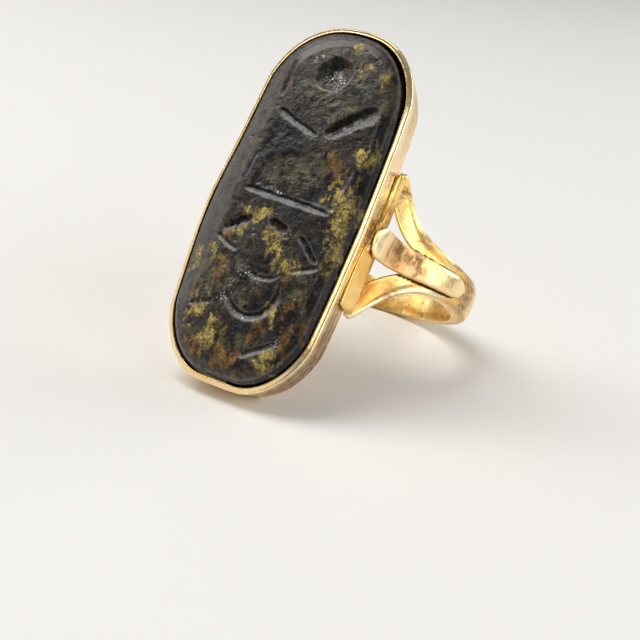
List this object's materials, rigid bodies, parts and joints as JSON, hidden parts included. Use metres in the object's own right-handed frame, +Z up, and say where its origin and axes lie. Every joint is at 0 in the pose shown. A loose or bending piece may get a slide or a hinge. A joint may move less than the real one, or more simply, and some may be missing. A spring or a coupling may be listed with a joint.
{
  "type": "seal ring",
  "caption": "Finger ring with a long carved stone tablet in a plain gold collar, on a split-shoulder gold shank.",
  "frame": {"origin": "on the surface the ring lies on, under the middle of its overall box", "axes": "+Z up from that surface; the carved face looks towards -Y and up; +X towards one shoulder, with the finger hole running up and back in the YZ plane"},
  "size_m": [0.0216, 0.027, 0.0248],
  "materials": {
    "gold": "worn hand-polished yellow gold",
    "stone": "dark mottled hardstone, satin polish with rougher cut marks"
  },
  "bodies": {
    "root": {"carved_stone": "stone", "bezel_collar": "gold", "side_rail_right": "gold", "side_rail_left": "gold", "split_shank": "gold", "centre_strap_right": "gold", "centre_strap_left": "gold"}
  },
  "joints": []
}
